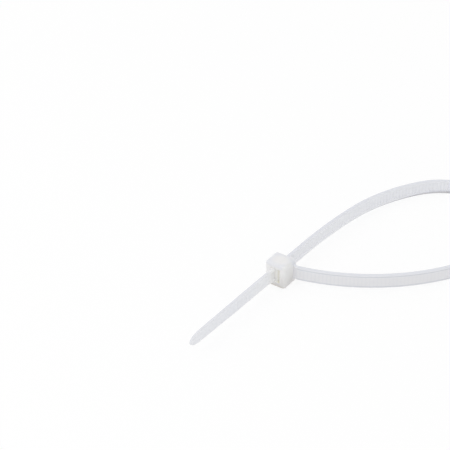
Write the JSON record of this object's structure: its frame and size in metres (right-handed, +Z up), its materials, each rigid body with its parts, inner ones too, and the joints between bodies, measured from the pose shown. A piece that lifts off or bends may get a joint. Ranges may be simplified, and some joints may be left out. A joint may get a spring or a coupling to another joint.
{
  "type": "cable tie",
  "caption": "Self-locking nylon cable tie, its toothed strap closed through the head into a drop-shaped loop, with a plain tapered tail.",
  "frame": {"origin": "middle of the head's lower side face, which rests on the surface", "axes": "+Y along the head's slot, from the tail towards the loop; +X the way the strap's root leaves the head; +Z up, across the strap's width"},
  "size_m": [0.0435, 0.0969, 0.0065],
  "materials": {
    "nylon": "natural nylon, milky and slightly translucent, satin moulded surface"
  },
  "bodies": {
    "root": {"cable_tie": "nylon"}
  },
  "joints": []
}
